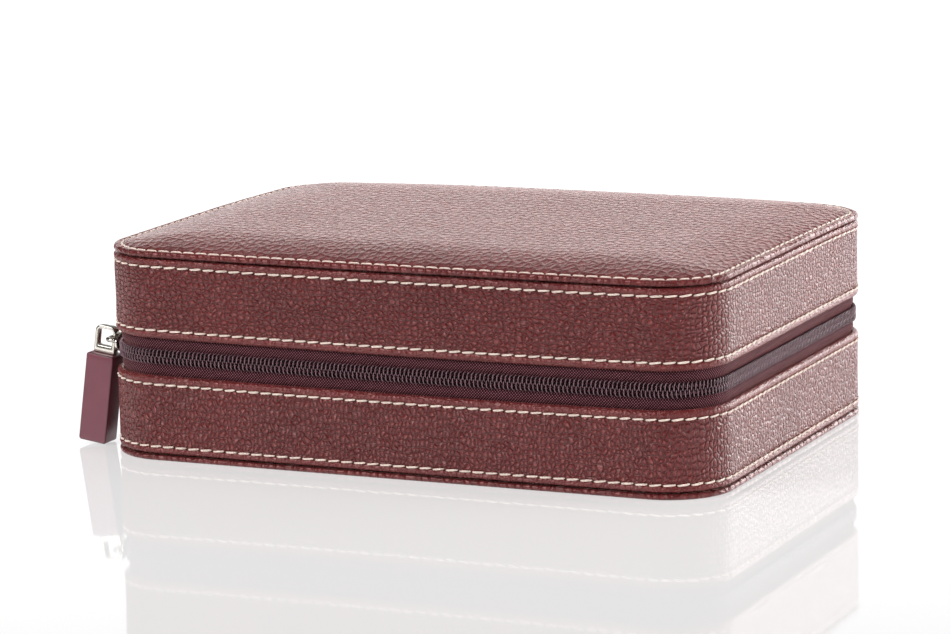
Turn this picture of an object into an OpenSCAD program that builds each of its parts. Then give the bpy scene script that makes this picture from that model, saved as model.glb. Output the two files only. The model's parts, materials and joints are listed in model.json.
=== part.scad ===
/* [Case] */
// Width of the closed case, left to right
case_w = 222; // [200:1:300]
// Depth of the closed case, front to back
case_d = 165; // [150:1:220]
// Height of the closed case
case_h = 71.5; // [66:0.5:90]
// Radius of the upright corners, seen from above
corner_r = 22; // [18:0.5:30]
// Height of the band that the zip closes, between the two walls
zip_gap = 12.7; // [11:0.1:16]

/* [Leather shell] */
// Thickness of the top and bottom panels
panel_t = 2.0; // [1.6:0.1:3]
// Thickness of the leather on the walls
leather_t = 1.4; // [1:0.1:1.6]
// How far the panels stand proud of the walls
lip_step = 0.3; // [0.2:0.05:0.6]
// Thickness of the stiff board inside the walls
board_t = 2.8; // [2.5:0.1:4]
// Thickness of the suede lining
lining_t = 0.8; // [0.5:0.1:1.2]

/* [Stitching] */
// Height of the outer stitch line above the case's face
seam_low = 5.0; // [4:0.1:7]
// Distance of the inner stitch line from the wall's free edge
seam_edge = 2.9; // [2.5:0.1:5]
// Distance of the panel's stitch line from its rim
seam_rim = 2.8; // [2.2:0.1:4]
// Width of the sewing thread
thread_w = 0.8; // [0.5:0.1:1]

/* [Zip] */
// Height of one coil, across the tape
coil_w = 2.15; // [1.8:0.05:2.6]
// Depth of one coil, off the tape
coil_t = 1.8; // [1.4:0.1:1.9]
// Thickness of the woven tape
tape_t = 0.8; // [0.5:0.1:0.8]
// Length of the slider's outer plate
slider_len = 13.4; // [12:0.1:14]
// Width of the slider's plates
slider_w = 8.0; // [7:0.1:9]

/* [Pull] */
// Width of the pull's ring
ring_w = 8.0; // [7.6:0.1:8.2]
// Length of the pull's tab
tab_len = 31.0; // [20:0.1:31]
// Width of the pull's tab
tab_w = 10.0; // [9:0.1:10]
// Depth of the pull's tab
tab_d = 8.2; // [5:0.1:8.4]
// Lean of the resting pull, away from the wall
pull_lean = 8; // [4:0.5:12]

/* [Inside] */
// Columns of watch cells
cell_cols = 4; // [4:1:4]
// Thickness of the padded dividers
divider_t = 3.0; // [2:0.1:4]
// Width of a watch cushion, across the watch
cushion_w = 45; // [38:0.5:46]
// Length of a watch cushion, along the strap
cushion_len = 58; // [48:0.5:60]
// Height of a watch cushion
cushion_h = 36; // [30:0.5:38]

/* [Hidden] */
$fn = 64;
eps = 0.01;

// Colours of the real materials.
leather_c = "#6e3c3c";
thread_c = "#efe3d0";
tape_c = "#43262a";
coil_c = "#33282a";
board_c = "#b9a98c";
suede_c = "#a88e74";
nickel_c = "#c4c2bd";
tab_c = "#7c4650";

// Insets of each layer, measured inwards from the case's outer face.
leather_in = lip_step + leather_t;
hem_t = 0.9;
tape_out = leather_in + hem_t;
tape_in = tape_out + tape_t;
board_in = leather_in + board_t;
lining_in = board_in + lining_t;

// Heights in the base. The lid is its mirror image about the zip.
zip_mid = case_h / 2;
wall_top = (case_h - zip_gap) / 2;
groove_h = 0.5;                       // dark gap between panel and wall
floor_board_t = 2.0;
floor_z = panel_t + floor_board_t;
lining_z = floor_z + lining_t;
edge_turn = 0.5;                      // lining turned over the board's edge
hem_h = 8.4;
hem_z = wall_top - hem_h;
coil_gap = 0.5;                       // from the zip's middle to each coil
coil_z = zip_mid - coil_gap - coil_w;
leaf_gap = 0.3;                       // hinge leather to the lid's wall

// Runs round the case: the corner centres, and where the zip ends at the back.
half_x = case_w / 2 - corner_r;
half_y = case_d / 2 - corner_r;
tape_return = 5.0;
coil_return = 2.6;
stop_len = 2.0;
spine_half = half_x - tape_return - 0.5;

// Inside.
pad_t = 3.0;
pad_top = lining_z + pad_t;
divider_top = wall_top - 1.6;
pitch_x = (case_w - 2 * lining_in) / cell_cols;
cell_y = (case_d / 2 - lining_in + divider_t / 2) / 2;
divider_fit = 0.3;
lid_pad_t = 4.0;

// Slider and pull, on the left side near the front corner.
wall_x = -case_w / 2;
slider_nose = -half_y - 6.7;
slider_tail = slider_nose + slider_len;
inner_nose = -half_y - 1.5;
plate_t = 1.0;
plate_fit = 0.3;
coil_out = tape_out - coil_t;
plate_in_x = wall_x + coil_out - plate_fit;       // outer plate's inner face
plate_out_x = plate_in_x - plate_t;
back_plate_x = wall_x + tape_in + plate_fit;
web_t = 0.4;
crown_r = 1.1;
crown_bend = 2.0;
pivot_x = plate_out_x - 5.1;
pivot_y = slider_nose + 4.3;
pivot_z = zip_mid + 1.15;
crown_front = slider_nose + 1.3;
crown_back = slider_tail - 1.6;

// Ring and tab, measured down the pull from the crown's bar.
ring_top = -4.5;
hole_top = -3.1;
hole_bottom = 2.6;
tab_top = 5.3;
ring_d = 3.0;
ring_leg = 1.4;
tang = [5.0, 2.0, 4.6];

// ---- Shapes that repeat ----

// Outline of the case, drawn in by an inset
module outline(inset) {
    square([2 * half_x, case_d - 2 * inset], center = true);
    square([case_w - 2 * inset, 2 * half_y], center = true);
    for (x = [-half_x, half_x], y = [-half_y, half_y])
        translate([x, y]) circle(corner_r - inset);
}

module plate(inset, z0, z1) {
    translate([0, 0, z0]) linear_extrude(z1 - z0) outline(inset);
}

module ring_wall(inset_out, inset_in, z0, z1) {
    translate([0, 0, z0]) linear_extrude(z1 - z0) difference() {
        outline(inset_out);
        outline(inset_in);
    }
}

// Square with both corners on the outer side rounded, in (inset, height)
module soft_strip(inset, z0, w, h, r) {
    translate([inset + r, z0]) square([w - r, h]);
    translate([inset, z0 + r]) square([2 * r, h - 2 * r]);
    for (z = [z0 + r, z0 + h - r]) translate([inset + r, z]) circle(r);
}

// A profile in (inset, height) carried along one straight side, or round one corner
module run_straight(length) {
    rotate([90, 0, 0]) linear_extrude(length) translate([corner_r, 0]) mirror([1, 0]) children();
}

module run_corner() {
    rotate_extrude(angle = 90) translate([corner_r, 0]) mirror([1, 0]) children();
}

function run_half(k) = k % 2 == 0 ? [half_x, half_y] : [half_y, half_x];

module at_corner(k) {
    rotate(90 * k) translate(run_half(k)) children();
}

// The whole loop round the case
module run_loop() {
    for (k = [0:3]) at_corner(k) {
        run_corner() children();
        run_straight(2 * run_half(k).y) children();
    }
}

// The zip's way: three sides, four corners and a short return at each end of the back
module run_zip(zip_return) {
    for (k = [0:3]) at_corner(k) {
        run_corner() children();
        if (k == 1) {
            run_straight(zip_return) children();
            translate([0, zip_return - 2 * half_x]) run_straight(zip_return) children();
        } else {
            run_straight(2 * run_half(k).y) children();
        }
    }
}

// Turns a part of the base into the lid's
module in_lid() {
    translate([0, 0, case_h]) mirror([0, 0, 1]) children();
}

// ---- Parts that the base and the lid share ----

module panel() {
    rim_w = 6;
    rim_r = 0.9;
    groove_w = thread_w + 0.4;
    groove_d = 0.55;
    color(leather_c) {
        plate(rim_w - eps, 0, panel_t);
        run_loop() difference() {
            soft_strip(0, 0, rim_w, panel_t, rim_r);
            translate([seam_rim - groove_w / 2, -eps]) square([groove_w, groove_d + eps]);
        }
    }
}

module panel_stitching() {
    thread_z = 0.1;
    color(thread_c) run_loop()
        translate([seam_rim - thread_w / 2, thread_z]) square([thread_w, 0.45]);
}

module floor_board() {
    color(board_c) plate(leather_in, panel_t, floor_z);
}

module wall_board() {
    top = wall_top - edge_turn;
    color(board_c) difference() {
        ring_wall(leather_in, board_in, floor_z, top);
        ring_wall(leather_in - 1, tape_in, hem_z, top + 1);
    }
}

// Wall leather, with its free edge turned in over the zip tape
module wall_leather() {
    bottom = panel_t + groove_h;
    fold_r = 0.65;
    color(leather_c) run_loop() {
        soft_strip(lip_step, bottom, leather_t, wall_top - bottom, fold_r);
        translate([leather_in - eps, hem_z]) square([hem_t + eps, hem_h]);
    }
}

module lining() {
    top = wall_top - edge_turn;
    color(suede_c) {
        plate(board_in, floor_z, lining_z);
        ring_wall(board_in, lining_in, lining_z, top);
        ring_wall(tape_in, lining_in, top, wall_top);
    }
}

module wall_stitching(z) {
    thread_t = 0.35;
    color(thread_c) run_loop()
        translate([lip_step - thread_t, z - thread_w / 2]) square([thread_t, thread_w]);
}

module zip_tape() {
    color(tape_c) run_zip(tape_return)
        translate([tape_out, hem_z]) square([tape_t, zip_mid - coil_gap - hem_z]);
}

module zip_coil() {
    bead_r = 0.45 * min(coil_t, coil_w);
    color(coil_c) run_zip(coil_return) soft_strip(coil_out, coil_z, coil_t, coil_w, bead_r);
}

// Crimps that close the two ends of the coil
module zip_stops() {
    at_x = half_x - coil_return - stop_len / 2;
    at_y = case_d / 2 - tape_out + coil_t / 2;
    color(nickel_c) for (side = [-1, 1])
        translate([side * at_x, at_y, coil_z + coil_w / 2])
            cube([stop_len, coil_t, coil_w + 0.6], center = true);
}

// ---- Hinge ----

module hinge_spine() {
    top = case_h - wall_top - leaf_gap;
    color(leather_c) translate([-spine_half, case_d / 2 - tape_in, hem_z])
        cube([2 * spine_half, tape_t, top - hem_z]);
}

module spine_lining() {
    top = case_h - wall_top - leaf_gap;
    color(suede_c) translate([-spine_half, case_d / 2 - lining_in, wall_top])
        cube([2 * spine_half, lining_t, top - wall_top]);
}

// ---- Inside of the base ----

module base_floor_pad() {
    color(suede_c) plate(lining_in + divider_fit, lining_z, pad_top);
}

module divider_slot(z0) {
    slot_w = divider_t + 0.2;
    translate([-slot_w / 2, -slot_w / 2, z0]) cube([slot_w, slot_w, divider_top - pad_top]);
}

module long_divider() {
    half = case_w / 2 - lining_in - divider_fit;
    mid_z = (pad_top + divider_top) / 2;
    color(suede_c) difference() {
        translate([-half, -divider_t / 2, pad_top])
            cube([2 * half, divider_t, divider_top - pad_top]);
        for (i = [-1:1]) translate([i * pitch_x, 0, 0]) divider_slot(mid_z);
    }
}

module cross_divider(i) {
    half = case_d / 2 - lining_in - divider_fit;
    mid_z = (pad_top + divider_top) / 2;
    slot_z = mid_z - (divider_top - pad_top);
    color(suede_c) translate([(i - 2) * pitch_x, 0, 0]) difference() {
        translate([-divider_t / 2, -half, pad_top])
            cube([divider_t, 2 * half, divider_top - pad_top]);
        divider_slot(slot_z);
    }
}

module rounded_block(w, h, r) {
    square([w - 2 * r, h], center = true);
    square([w, h - 2 * r], center = true);
    for (x = [r - w / 2, w / 2 - r], y = [r - h / 2, h / 2 - r]) translate([x, y]) circle(r);
}

// Cushion i of 8, counted along the front row and then along the back row
module watch_cushion(i) {
    col = (i - 1) % cell_cols;
    row = floor((i - 1) / cell_cols);
    x = (col - (cell_cols - 1) / 2) * pitch_x;
    y = (2 * row - 1) * cell_y;
    color(suede_c) translate([x - cushion_w / 2, y, pad_top + cushion_h / 2])
        rotate([90, 0, 90]) linear_extrude(cushion_w) rounded_block(cushion_len, cushion_h, 13);
}

// ---- Inside of the lid ----

module lid_pad() {
    color(suede_c) in_lid() plate(lining_in + 4, lining_z, lining_z + lid_pad_t);
}

// ---- Slider ----

// Plate of the slider, standing against the wall, from y0 to the tail
module slider_plate(x0, y0, r) {
    translate([x0, (y0 + slider_tail) / 2, zip_mid]) rotate([90, 0, 90])
        linear_extrude(plate_t) rounded_block(slider_tail - y0, slider_w, r);
}

// Two plates, held together by a thin web that runs between the coils
module slider_body() {
    web_len = 6;
    color(nickel_c) {
        slider_plate(plate_out_x, slider_nose, 2.4);
        slider_plate(back_plate_x, inner_nose, 1.4);
        translate([plate_in_x - eps, inner_nose + 0.5, zip_mid - web_t / 2])
            cube([back_plate_x - plate_in_x + 2 * eps, web_len, web_t]);
    }
}

// Bent wire loop on the outer plate, which carries the pull's ring
module slider_crown() {
    leg = plate_out_x - pivot_x - crown_bend;
    color(nickel_c) {
        for (y = [crown_front, crown_back]) translate([pivot_x + crown_bend, y, pivot_z])
            rotate([0, 90, 0]) cylinder(h = leg, r = crown_r);
        translate([pivot_x, crown_back - crown_bend, pivot_z]) rotate([90, 0, 0])
            cylinder(h = crown_back - crown_front - 2 * crown_bend, r = crown_r);
        translate([pivot_x + crown_bend, crown_front + crown_bend, pivot_z]) rotate(180)
            rotate_extrude(angle = 90) translate([crown_bend, 0]) circle(crown_r);
        translate([pivot_x + crown_bend, crown_back - crown_bend, pivot_z]) rotate(90)
            rotate_extrude(angle = 90) translate([crown_bend, 0]) circle(crown_r);
    }
}

// ---- Pull ----

// Places a part drawn with its bar at the origin and hanging down -Z
module at_pull() {
    translate([pivot_x, pivot_y, pivot_z]) rotate([0, pull_lean, 0]) children();
}

// Extrudes a shape drawn in (X, Z), centred on the pull's middle plane
module across_pull(d) {
    translate([0, d / 2, 0]) rotate([90, 0, 0]) linear_extrude(d) children();
}

// Arch outline of the ring: round above, nearly square below
module ring_outline(w, z0, z1, r) {
    translate([-w / 2, z0]) square([w, z1 - r - z0]);
    translate([r - w / 2, z0]) square([w - 2 * r, z1 - z0]);
    for (x = [r - w / 2, w / 2 - r]) translate([x, z1 - r]) circle(r);
}

module pull_ring() {
    hole_w = ring_w - 2 * ring_leg;
    color(nickel_c) at_pull() {
        across_pull(ring_d) difference() {
            ring_outline(ring_w, -tab_top, -ring_top, 3);
            ring_outline(hole_w, -hole_bottom, -hole_top, 1.6);
        }
        translate([-tang.x / 2, -tang.y / 2, -tab_top - tang.z]) cube(tang + [0, 0, eps]);
    }
}

module pull_tab() {
    tang_fit = 0.05;
    socket = tang + tang_fit * [2, 2, 2];
    color(tab_c) at_pull() difference() {
        intersection() {
            translate([0, 0, -tab_top - tab_len]) linear_extrude(tab_len)
                rounded_block(tab_w, tab_d, 0.7);
            translate([0, 0, -tab_top - tab_len / 2])
                across_pull(tab_d) rounded_block(tab_w, tab_len, 1.1);
        }
        translate([-socket.x / 2, -socket.y / 2, -tab_top - socket.z]) cube(socket + [0, 0, 1]);
    }
}

panel();  // base_panel
floor_board();  // base_board
wall_board();  // base_wall_board
wall_leather();  // base_wall_leather
lining();  // base_lining
panel_stitching();  // base_panel_stitching
wall_stitching(seam_low);  // base_low_stitching
wall_stitching(wall_top - seam_edge);  // base_edge_stitching
zip_tape();  // base_zip_tape
zip_coil();  // base_zip_coil
zip_stops();  // base_zip_stops
hinge_spine();
spine_lining();
base_floor_pad();
long_divider();
cross_divider(1);  // cross_divider_1
cross_divider(2);  // cross_divider_2
cross_divider(3);  // cross_divider_3
watch_cushion(1);  // watch_cushion_1
watch_cushion(2);  // watch_cushion_2
watch_cushion(3);  // watch_cushion_3
watch_cushion(4);  // watch_cushion_4
watch_cushion(5);  // watch_cushion_5
watch_cushion(6);  // watch_cushion_6
watch_cushion(7);  // watch_cushion_7
watch_cushion(8);  // watch_cushion_8
in_lid() panel();  // lid_panel
in_lid() floor_board();  // lid_board
in_lid() wall_board();  // lid_wall_board
in_lid() wall_leather();  // lid_wall_leather
in_lid() lining();  // lid_lining
in_lid() panel_stitching();  // lid_panel_stitching
in_lid() wall_stitching(seam_low);  // lid_low_stitching
in_lid() wall_stitching(wall_top - seam_edge);  // lid_edge_stitching
in_lid() zip_tape();  // lid_zip_tape
in_lid() zip_coil();  // lid_zip_coil
in_lid() zip_stops();  // lid_zip_stops
lid_pad();
slider_body();
slider_crown();
pull_ring();
pull_tab();
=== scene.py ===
import json
import math
import random

import bmesh
import bpy
from mathutils import Matrix, Vector, noise


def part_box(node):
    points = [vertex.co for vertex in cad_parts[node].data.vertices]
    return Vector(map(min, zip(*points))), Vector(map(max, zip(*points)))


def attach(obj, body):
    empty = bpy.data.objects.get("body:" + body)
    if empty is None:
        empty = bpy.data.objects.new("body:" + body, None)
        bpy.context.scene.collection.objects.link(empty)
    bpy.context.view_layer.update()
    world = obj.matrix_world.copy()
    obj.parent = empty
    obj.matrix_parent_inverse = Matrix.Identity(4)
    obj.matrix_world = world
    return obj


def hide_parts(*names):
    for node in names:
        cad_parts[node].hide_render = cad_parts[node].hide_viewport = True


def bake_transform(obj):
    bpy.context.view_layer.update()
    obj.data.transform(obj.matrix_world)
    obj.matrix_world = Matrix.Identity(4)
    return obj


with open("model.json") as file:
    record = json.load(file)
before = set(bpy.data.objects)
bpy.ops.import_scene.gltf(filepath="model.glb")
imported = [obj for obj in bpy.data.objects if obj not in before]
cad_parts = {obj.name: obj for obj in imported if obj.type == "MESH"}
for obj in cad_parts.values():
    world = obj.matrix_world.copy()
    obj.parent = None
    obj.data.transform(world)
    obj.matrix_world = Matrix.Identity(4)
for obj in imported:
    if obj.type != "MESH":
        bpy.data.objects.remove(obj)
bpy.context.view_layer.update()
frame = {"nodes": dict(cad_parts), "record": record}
random.seed(11)
mm = 0.001    # sizes below are in millimetres, and makePiece turns them to metres
weldGap = 0.002 * mm    # points closer than this are one point
print("frame loaded")


def nodeBox(node):
    return [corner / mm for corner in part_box(node)]


panelLow, panelHigh = nodeBox("base_panel")
wallLow, wallHigh = nodeBox("base_wall_leather")
tapeLow, tapeHigh = nodeBox("base_zip_tape")
coilLow = nodeBox("base_zip_coil")[0]
halves = (("base", False), ("lid", True))    # and whether that half is upside down
case = {
    # mm, from the frame but for the corners
    "width": panelHigh.x - panelLow.x,
    "depth": panelHigh.y - panelLow.y,
    "height": nodeBox("lid_panel")[1].z,
    "corner": 22.0,
}
cornerRadius = case["corner"]
halfX = case["width"] / 2 - cornerRadius
halfY = case["depth"] / 2 - cornerRadius


def ahead(heading):
    return Vector((math.cos(heading), math.sin(heading), 0))


def outward(heading):
    return Vector((math.sin(heading), -math.cos(heading), 0))


def loopPlan():
    # straights and corners from the middle of the back, round by the left side and the front
    plan = []
    spot = Vector((0, case["depth"] / 2, 0))
    heading = math.pi
    start = 0
    for number, length in enumerate((halfX, 2 * halfY, 2 * halfX, 2 * halfY, halfX)):
        plan.append((start, spot.copy(), heading, False))
        start += length
        spot += length * ahead(heading)
        if number < 4:
            plan.append((start, spot.copy(), heading, True))
            start += cornerRadius * math.pi / 2
            centre = spot - cornerRadius * outward(heading)
            heading += math.pi / 2
            spot = centre + cornerRadius * outward(heading)
    return plan, start


loopRuns, loopLength = loopPlan()
leftFrontCorner = halfX + 2 * halfY + cornerRadius * math.pi / 2


def loopSpot(s):
    # point on the outline and the way out of the case there
    s %= loopLength
    start, spot, heading, isCorner = [run for run in loopRuns if run[0] <= s][-1]
    if not isCorner:
        return spot + (s - start) * ahead(heading), outward(heading)
    centre = spot - cornerRadius * outward(heading)
    way = outward(heading + (s - start) / cornerRadius)
    return centre + cornerRadius * way, way


def place(s, inset, z):
    spot, way = loopSpot(s)
    return spot - way * inset + Vector((0, 0, z))


def heightOf(z, mirrored):
    # the lid is the base upside down, so its heights count from the top
    return case["height"] - z if mirrored else z


def middleSpot(spot):
    # nearest point of the line along the case's middle that panels and pads close in on
    reach = halfX - halfY
    return Vector((max(-reach, min(reach, spot.x)), 0, spot.z))


def spread(low, high, step):
    # even steps from low to high, as near to step as they can be
    count = max(1, round((high - low) / step))
    return [low + (high - low) * i / count for i in range(count + 1)]


def arc(inset, z, r, first, last, count=5):
    # (inset, z) pairs on a circle, angles in degrees from the way into the case
    turns = [math.radians(first + (last - first) * i / (count - 1)) for i in range(count)]
    return [(inset + r * math.cos(turn), z + r * math.sin(turn)) for turn in turns]


def runLengths(profile):
    # how far along a profile each of its points lies
    lengths = [0]
    for before, after in zip(profile, profile[1:]):
        lengths.append(lengths[-1] + math.dist(before[:2], after[:2]))
    return lengths


def makePiece(name, points, faces, uvs=None, marks=None, solid=False):
    # marks are named shares for each point, which the materials read
    mesh = bpy.data.meshes.new(name)
    mesh.from_pydata([tuple(point * mm) for point in points], [], faces)
    if uvs:
        layer = mesh.uv_layers.new(name="UVMap")
        layer.data.foreach_set("uv", [c for loop in mesh.loops for c in uvs[loop.vertex_index]])
    for markName, values in (marks or {}).items():
        mesh.attributes.new(markName, "FLOAT", "POINT").data.foreach_set("value", values)
    work = bmesh.new()
    work.from_mesh(mesh)
    bmesh.ops.remove_doubles(work, verts=work.verts, dist=weldGap)
    bmesh.ops.dissolve_degenerate(work, edges=work.edges, dist=weldGap / 2)
    if solid:
        bmesh.ops.recalc_face_normals(work, faces=work.faces)
    work.to_mesh(mesh)
    work.free()
    mesh.shade_smooth()
    piece = bpy.data.objects.new(name, mesh)
    bpy.context.scene.collection.objects.link(piece)
    return piece


def gridFaces(columns, rows, first=0, flip=False, closedAcross=False, closedAlong=False):
    # quads between columns of points that follow each other in the list
    faces = []
    for i in range(columns if closedAlong else columns - 1):
        n = (i + 1) % columns
        for j in range(rows if closedAcross else rows - 1):
            k = (j + 1) % rows
            a, b = first + i * rows + j, first + n * rows + j
            c, d = first + n * rows + k, first + i * rows + k
            faces.append((d, c, b, a) if flip else (a, b, c, d))
    return faces


def capFaces(columns, rows, first=0):
    # the two ends of a tube made of such columns
    last = first + (columns - 1) * rows
    return [tuple(range(first, first + rows)), tuple(reversed(range(last, last + rows)))]


def dress(piece, body, material, node):
    if not piece.data.materials:
        piece.data.materials.append(material)
    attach(piece, body)
    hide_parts(node)


def tubeInto(points, faces, uvs, path, radii, hints, sides, closed=False):
    # adds a tube along path, its rings turned towards the hints
    first = len(points)
    count = len(path)
    run = 0
    for i, spot in enumerate(path):
        before = path[i - 1] if i or closed else spot
        after = path[(i + 1) % count] if i < count - 1 or closed else spot
        along = (after - before).normalized()
        side = along.cross(hints[i]).normalized()
        up = side.cross(along)
        run += (spot - before).length
        for k in range(sides):
            turn = 2 * math.pi * k / sides
            points.append(spot + radii[i] * (math.cos(turn) * up + math.sin(turn) * side))
            uvs.append((run, turn * max(radii)))
    faces += gridFaces(count, sides, first, closedAcross=True, closedAlong=closed)
    if not closed:
        faces += capFaces(count, sides, first)


def roundedOutline(width, low, high, topCorner, footCorner=None, perCorner=5, perSide=4):
    # points round a rectangle with round corners, anticlockwise
    if footCorner is None:
        footCorner = topCorner
    corners = []
    for quarter, (x, y) in enumerate(((1, 1), (-1, 1), (-1, -1), (1, -1))):
        r = max(0.01, topCorner if y > 0 else footCorner)
        centre = Vector((x * (width / 2 - r), high - r if y > 0 else low + r))
        turns = [math.pi / 2 * (quarter + i / (perCorner - 1)) for i in range(perCorner)]
        corners.append([centre + r * Vector((math.cos(turn), math.sin(turn))) for turn in turns])
    spots = []
    for quarter in range(4):
        after = corners[(quarter + 1) % 4][0]
        spots += corners[quarter]
        spots += [corners[quarter][-1].lerp(after, i / perSide) for i in range(1, perSide)]
    return spots


def slabInto(points, faces, size, corner, thick, edge, spotAt, dome=0.0):
    # plate with round corners and round edges; spotAt(u, v, w) puts a point in its place, and the
    # list that comes back says how near each point is to the middle of an edge's rounding
    width, height = size
    lower = [(k, edge, dome * (k * k - 1), 0) for k in (0, 0.35, 0.65, 0.88)]    # scale, shrink, rise, nearness to the middle of the edge's rounding
    for i in range(5):
        turn = math.pi / 2 * i / 4
        lower.append((1, edge - edge * math.sin(turn), edge - edge * math.cos(turn), math.sin(2 * turn)))
    rings = [(scale, shrink, rise - thick / 2, edgeWeight) for scale, shrink, rise, edgeWeight in lower]
    rings += [(scale, shrink, thick / 2 - rise, edgeWeight) for scale, shrink, rise, edgeWeight in reversed(lower)]
    first = len(points)
    edgeBand = []
    for scale, shrink, level, edgeWeight in rings:
        ring = roundedOutline(width - 2 * shrink, shrink - height / 2, height / 2 - shrink, corner - shrink)
        points += [spotAt(scale * spot.x, scale * spot.y, level) for spot in ring]
        edgeBand += [edgeWeight] * len(ring)
    faces += gridFaces(len(rings), len(ring), first, closedAcross=True)
    return edgeBand


def linearColour(code):
    parts = [int(code[i:i + 2], 16) / 255 for i in (1, 3, 5)]
    return [c / 12.92 if c <= 0.04045 else ((c + 0.055) / 1.055) ** 2.4 for c in parts] + [1]


def addNode(tree, kind, inputs=(), output=0, **settings):
    # inputs go to the sockets in order, or by name or number where they are a dictionary
    node = tree.nodes.new("ShaderNode" + kind)
    for key, value in settings.items():
        setattr(node, key, value)
    for key, value in inputs.items() if isinstance(inputs, dict) else enumerate(inputs):
        if isinstance(value, bpy.types.NodeSocket):
            tree.links.new(value, node.inputs[key])
        else:
            node.inputs[key].default_value = value
    return node.outputs[output] if node.outputs else node


smooth = {"interpolation_type": "SMOOTHSTEP"}        # a range that eases in and out
colourMix = {"output": 2, "data_type": "RGBA"}       # with the share in socket 0 and the colours in 6 and 7


def fromTo(code, otherCode):
    return {6: linearColour(code), 7: linearColour(otherCode)}


def newMaterial(name):
    # a pattern's scale is its lumps to the mm, as UV maps count in mm and object coordinates in metres
    material = bpy.data.materials.new(name)
    material.use_nodes = True
    material.node_tree.nodes.clear()
    return material, material.node_tree


def finishMaterial(tree, inputs):
    shader = addNode(tree, "BsdfPrincipled", inputs)
    addNode(tree, "OutputMaterial", [shader])


shot = {
    "place": (0.5736, -1.3002, 0.3065),    # metres
    "yaw": 24.02,
    "pitch": 9.66,
    "roll": -1.11,
    "width": 951,              # of the image in pixels, which the next two values count in
    "focalLength": 4194,
    "rise": -71.2,
    "sensor": 36.0,
}


def addCamera():
    yaw, pitch, roll = (math.radians(shot[key]) for key in ("yaw", "pitch", "roll"))
    forward = Vector((-math.sin(yaw) * math.cos(pitch), math.cos(yaw) * math.cos(pitch), -math.sin(pitch)))
    level = Vector((math.cos(yaw), math.sin(yaw), 0))
    upright = level.cross(forward)
    right = level * math.cos(roll) + upright * math.sin(roll)
    up = upright * math.cos(roll) - level * math.sin(roll)
    data = bpy.data.cameras.new("camera")
    data.sensor_width = shot["sensor"]
    data.lens = shot["focalLength"] / shot["width"] * shot["sensor"]
    data.shift_y = shot["rise"] / shot["width"]
    camera = bpy.data.objects.new("camera", data)
    turn = Matrix((right, up, -forward)).transposed().to_4x4()
    camera.matrix_world = Matrix.Translation(shot["place"]) @ turn
    bpy.context.scene.collection.objects.link(camera)
    bpy.context.scene.camera = camera


addCamera()
print("camera placed")


leatherMake = {
    # a pebble's size along and up in mm, how far pebbles stray from rows, and how strong the painted glint
    # at each pebble's middle is
    "pebble": {
        "lid": (2.05, 1.6, 0.68, 0.4),
        "base": (1.6, 2.1, 0.68, 0.4),
        "panel": (2.8, 4.4, 0.85, 0.25),
    },
    "sway": 2.4,           # mm that the rows of pebbles bend aside
    "dome": 0.25,          # mm that a pebble of full width would drop from its middle to its edge
    "crease": 0.34,        # mm, the fold between pebbles
    "creaseWidth": 0.30,   # its width as a share of a pebble
    "fine": 0.8,           # mm across the small wrinkles that also cover the edges
    "fineShare": 0.15,     # how much of them the pebbled parts keep
    "wrinkle": 0.14,       # mm that a small wrinkle would drop over its full width
    "pore": 0.045,
    "tip": 0.30,           # radius of the painted glint at a pebble's middle, as a share of the pebble
    "hole": (0.18, 0.65),  # mm, radius of a needle hole and of the leather that it pulls in
    "holeDepth": 0.6,
    # of the dye, its paler patches, painted shade in the folds, painted shade in the needle holes and under
    # the panel's lip, and painted glints
    "colours": ("#612223", "#6b2728", "#2a0a0b", "#150505", "#b87a72"),
    "tint": 0.12,          # how much darker the darkest pebbles are than the palest
    # shares of painted shade in the folds and in the needle holes
    "foldShade": 0.42,
    "holeShade": 0.7,
    "gloss": (0.2, 0.3),   # roughness from one pore to the next
    "foldGloss": 0.08,     # how much rougher folds and holes are
}


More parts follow.
